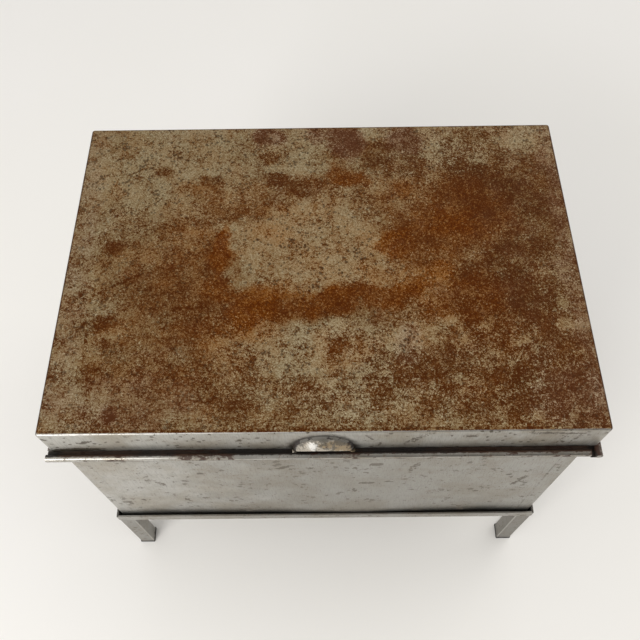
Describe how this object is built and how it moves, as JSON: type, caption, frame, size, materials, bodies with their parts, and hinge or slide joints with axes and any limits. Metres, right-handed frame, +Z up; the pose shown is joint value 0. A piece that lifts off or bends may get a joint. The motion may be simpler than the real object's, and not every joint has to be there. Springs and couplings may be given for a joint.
{
  "type": "trunk",
  "caption": "Bare sheet-steel trunk with a flat overlapping hinged lid, wired rim and drop handles, standing in an angle-steel stand on box legs.",
  "frame": {"origin": "on the floor, under the middle of the trunk's body", "axes": "+X to the right along the trunk's length, +Y towards the back, the pull faces -Y, +Z up"},
  "size_m": [0.711, 0.5113, 0.5655],
  "materials": {
    "lid_steel": "bare steel, worn khaki grey with brown and orange rust bloom, waxed",
    "body_steel": "bare steel, burnished silver grey with fine dark pits",
    "rim_steel": "bare steel, rolled edge worn bright on the crest, brown in the gutter",
    "wire_steel": "drawn steel wire, dull",
    "pull_steel": "pressed sheet, polished by hands, a few brown pits",
    "hardware_steel": "bare steel fittings, worn",
    "stand_steel": "ground mild steel, welded and brushed, clear waxed",
    "foot_plastic": "black moulded foot caps"
  },
  "bodies": {
    "stand": {"foot_cap_back_left": "foot_plastic", "foot_cap_back_right": "foot_plastic", "foot_cap_front_left": "foot_plastic", "foot_cap_front_right": "foot_plastic", "leg_back_left": "stand_steel", "leg_back_right": "stand_steel", "leg_front_left": "stand_steel", "leg_front_right": "stand_steel", "rail_back": "stand_steel", "rail_front": "stand_steel", "rail_left": "stand_steel", "rail_right": "stand_steel"},
    "trunk": {"body_back": "body_steel", "body_front": "body_steel", "body_left": "body_steel", "body_right": "body_steel", "bottom_pan": "body_steel", "handle_plate_left": "hardware_steel", "handle_plate_right": "hardware_steel", "handle_rivets_left": "hardware_steel", "handle_rivets_right": "hardware_steel", "rim_back": "rim_steel", "rim_front": "rim_steel", "rim_left": "rim_steel", "rim_right": "rim_steel", "rim_wire_back": "wire_steel", "rim_wire_front": "wire_steel", "rim_wire_left": "wire_steel", "rim_wire_right": "wire_steel"},
    "lid": {"hinge_rivets": "hardware_steel", "hinge_strap_left": "hardware_steel", "hinge_strap_right": "hardware_steel", "lid_shell": "lid_steel", "pull": "pull_steel"},
    "left_bail": {"bail_left": "hardware_steel"},
    "right_bail": {"bail_right": "hardware_steel"}
  },
  "joints": [
    {"name": "trunk_lift", "type": "slide", "parent": "stand", "child": "trunk", "axis": [0, 0, 1], "range_m": [0, 0.1]},
    {"name": "lid_hinge", "type": "hinge", "parent": "trunk", "child": "lid", "pos_m": [0, 0.25085, 0.50235], "axis": [-1, 0, 0], "range_deg": [0, 190]},
    {"name": "left_bail_hinge", "type": "hinge", "parent": "trunk", "child": "left_bail", "pos_m": [-0.349, 0, 0.4], "axis": [0, 1, 0], "range_deg": [-5, 185]},
    {"name": "right_bail_hinge", "type": "hinge", "parent": "trunk", "child": "right_bail", "pos_m": [0.349, 0, 0.4], "axis": [0, -1, 0], "range_deg": [-5, 185]}
  ]
}
